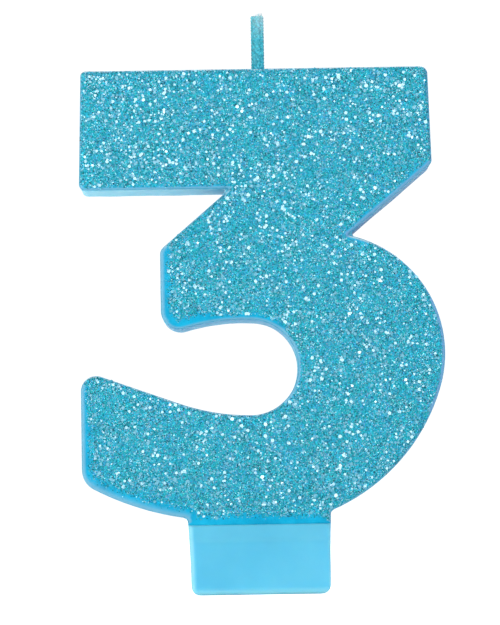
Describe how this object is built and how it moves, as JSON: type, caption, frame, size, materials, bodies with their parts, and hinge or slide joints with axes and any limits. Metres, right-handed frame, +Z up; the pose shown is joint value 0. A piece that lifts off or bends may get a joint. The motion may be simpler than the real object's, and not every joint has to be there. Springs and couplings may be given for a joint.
{
  "type": "number birthday candle",
  "caption": "Cast wax numeral candle in the shape of a 3, with a coloured glitter front, a plain wax tab that pushes into a cake, and a braided wick that bends at its foot.",
  "frame": {"origin": "on the flat end face of the tab, at its middle across, and at mid-thickness of the figure", "axes": "+Z up along the figure's height to the wick, +X to the reader's right, -Y out of the glitter front"},
  "size_m": [0.0571, 0.0112, 0.0917],
  "materials": {
    "wax": "smooth translucent paraffin wax, soft gloss",
    "colour_coat": "saturated dyed wax layer, soft gloss",
    "glitter": "fine metallised flakes in clear binder, sparkling",
    "large_flake": "bright metallised six-sided flakes",
    "wick": "braided cotton soaked in coloured wax"
  },
  "bodies": {
    "candle": {"wax_numeral": "wax", "colour_coat": "colour_coat", "glitter_film": "glitter", "large_flakes": "large_flake", "wick_core": "wick"},
    "wick_tip": {"wick_tail": "wick"}
  },
  "joints": [
    {"name": "wick_bend", "type": "hinge", "parent": "candle", "child": "wick_tip", "pos_m": [0.0008, 0, 0.08363], "axis": [0, 1, 0], "range_deg": [-40, 40]}
  ]
}
